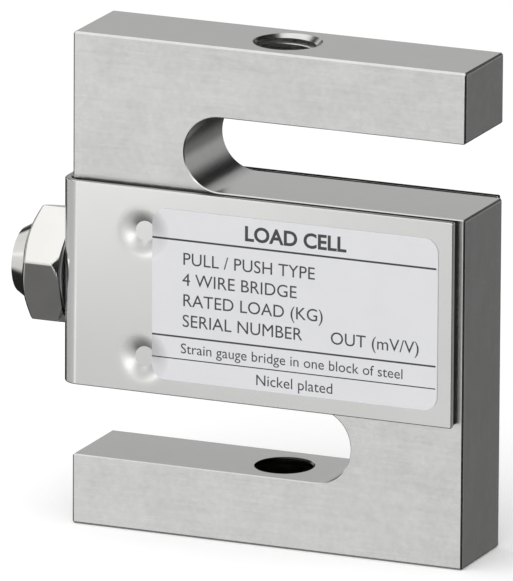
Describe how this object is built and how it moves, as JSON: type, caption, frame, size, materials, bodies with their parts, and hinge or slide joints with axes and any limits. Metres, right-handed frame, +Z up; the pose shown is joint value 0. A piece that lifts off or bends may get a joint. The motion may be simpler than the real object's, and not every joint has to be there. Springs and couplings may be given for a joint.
{
  "type": "s-type load cell",
  "caption": "S-shaped steel load cell with tapped holes in both arms, a folded sheet cover with a blank name plate round its gauge section, and a hex cable gland on one side.",
  "frame": {"origin": "on the bottom face, at the centre of its tapped hole", "axes": "+Z up the load axis through both tapped holes, +X to the right away from the cable gland, -Y out of the name plate"},
  "size_m": [0.0596, 0.0154, 0.061],
  "materials": {
    "plated_steel": "satin nickel plate on milled alloy steel",
    "cover_steel": "smooth stainless sheet",
    "label_film": "silver-white polyester film",
    "black_sealant": "matt silicone",
    "plated_brass": "bright nickel plate",
    "black_rubber": "matt rubber",
    "washer_steel": "bright zinc plate",
    "gauge_film": "amber polyimide with metal foil",
    "terminal_copper": "copper foil on film",
    "lead_copper": "bare copper ribbon",
    "board_laminate": "green solder mask",
    "tape_foam": "white foam tape",
    "chip_ceramic": "black glaze",
    "pad_tin": "tinned copper"
  },
  "bodies": {
    "root": {"spring_body": "plated_steel", "cover": "cover_steel", "nameplate": "label_film", "front_seal": "black_sealant", "rear_seal": "black_sealant", "gland_screw": "plated_brass", "gland_face_washer": "washer_steel", "gland_thrust_washer": "washer_steel", "gland_bush": "black_rubber", "gauge_upper_left": "gauge_film", "gauge_upper_right": "gauge_film", "gauge_lower_left": "gauge_film", "gauge_lower_right": "gauge_film", "terminal_upper_left": "terminal_copper", "terminal_upper_right": "terminal_copper", "terminal_lower_left": "terminal_copper", "terminal_lower_right": "terminal_copper", "leads_upper_left": "lead_copper", "leads_upper_right": "lead_copper", "leads_lower_left": "lead_copper", "leads_lower_right": "lead_copper", "bridge_board": "board_laminate", "board_tape": "tape_foam", "trim_resistors": "chip_ceramic", "cord_pads": "pad_tin"}
  },
  "joints": []
}
